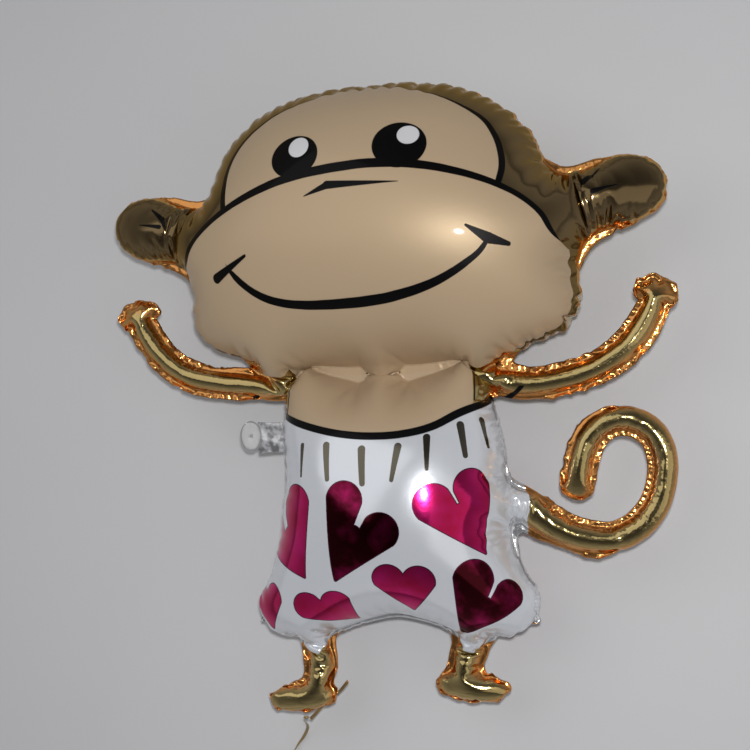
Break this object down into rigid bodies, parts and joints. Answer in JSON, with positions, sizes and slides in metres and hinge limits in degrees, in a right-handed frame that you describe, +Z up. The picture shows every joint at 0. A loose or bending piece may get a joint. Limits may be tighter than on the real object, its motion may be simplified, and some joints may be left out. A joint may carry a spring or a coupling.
{
  "type": "balloon monkey",
  "caption": "Inflated foil balloon in the shape of a monkey with round ears, raised arms, heart-print shorts and a curled tail, on a curling ribbon.",
  "frame": {"origin": "centre of the lying balloon's own box, on the floor", "axes": "+Z up, the way the face looks; +Y from the feet to the head; +X to the tail's side"},
  "size_m": [0.8547, 1.0857, 0.308],
  "materials": {
    "foil": "mirror gold foil, with a satin tan face and chest and glossy white heart-print shorts",
    "clear_film": "clear, crinkled film",
    "ribbon": "satin gold curling ribbon",
    "tie": "plain white band"
  },
  "bodies": {
    "root": {"foil_envelope": "foil", "fill_tail": "clear_film", "ribbon_knot": "ribbon", "ribbon_end": "ribbon", "ribbon_lead": "ribbon", "ribbon_coil": "ribbon", "coil_tie": "tie"}
  },
  "joints": []
}
